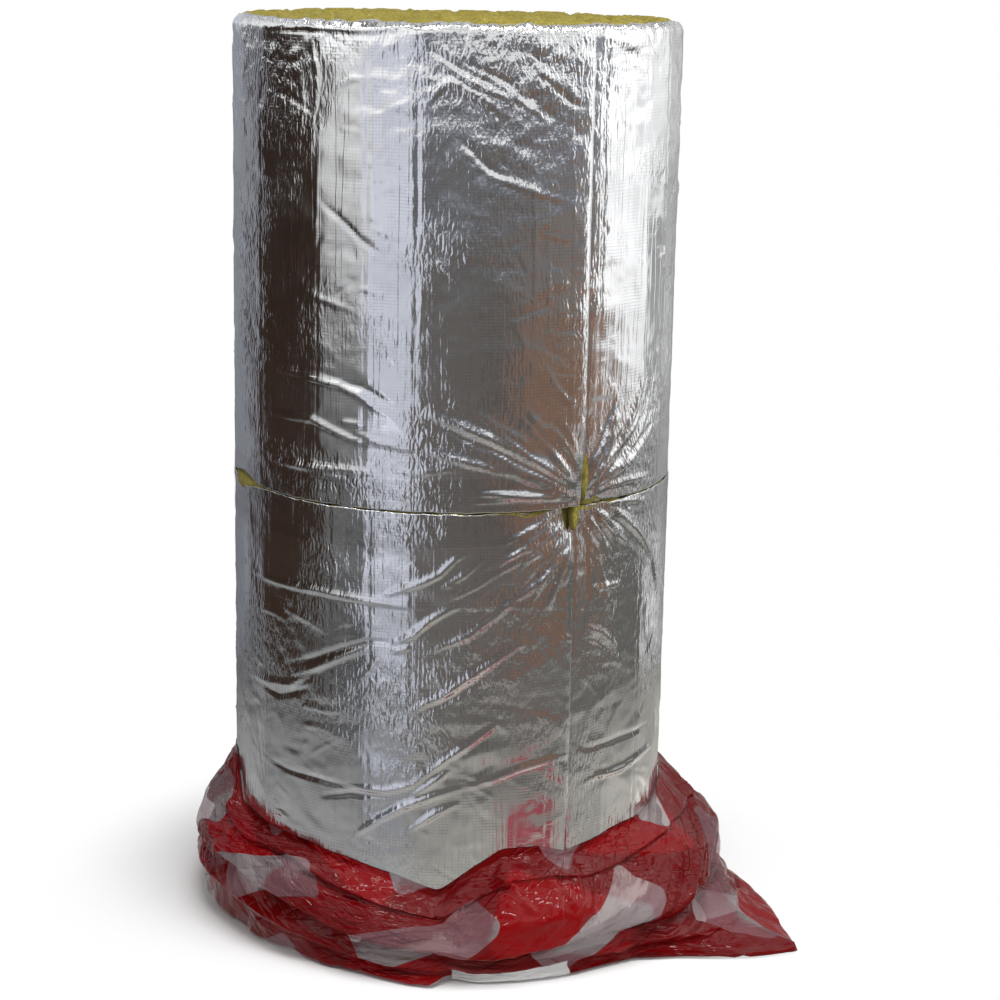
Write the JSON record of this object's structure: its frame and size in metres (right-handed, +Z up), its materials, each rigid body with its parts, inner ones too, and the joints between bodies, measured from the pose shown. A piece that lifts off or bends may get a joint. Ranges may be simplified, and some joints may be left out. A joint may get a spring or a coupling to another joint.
{
  "type": "insulation roll",
  "caption": "Foil-faced mineral wool mat wound into open-cored rolls that stand end to end, joined with clear tape, with the wrap film slipped down round the foot.",
  "frame": {"origin": "on the floor, on the axis of the rolls", "axes": "+Z up along the axis of the rolls, -Y towards the front of the picture, +X to its right"},
  "size_m": [0.6842, 0.6133, 1],
  "materials": {
    "wool": "matt, fibrous",
    "foil": "bright, crinkled",
    "tape": "clear, glossy",
    "film": "glossy, thin"
  },
  "bodies": {
    "root": {"upper_wool": "wool", "upper_foil": "foil", "lower_wool": "wool", "lower_foil": "foil", "joint_tape": "tape", "wrap_film": "film"}
  },
  "joints": []
}
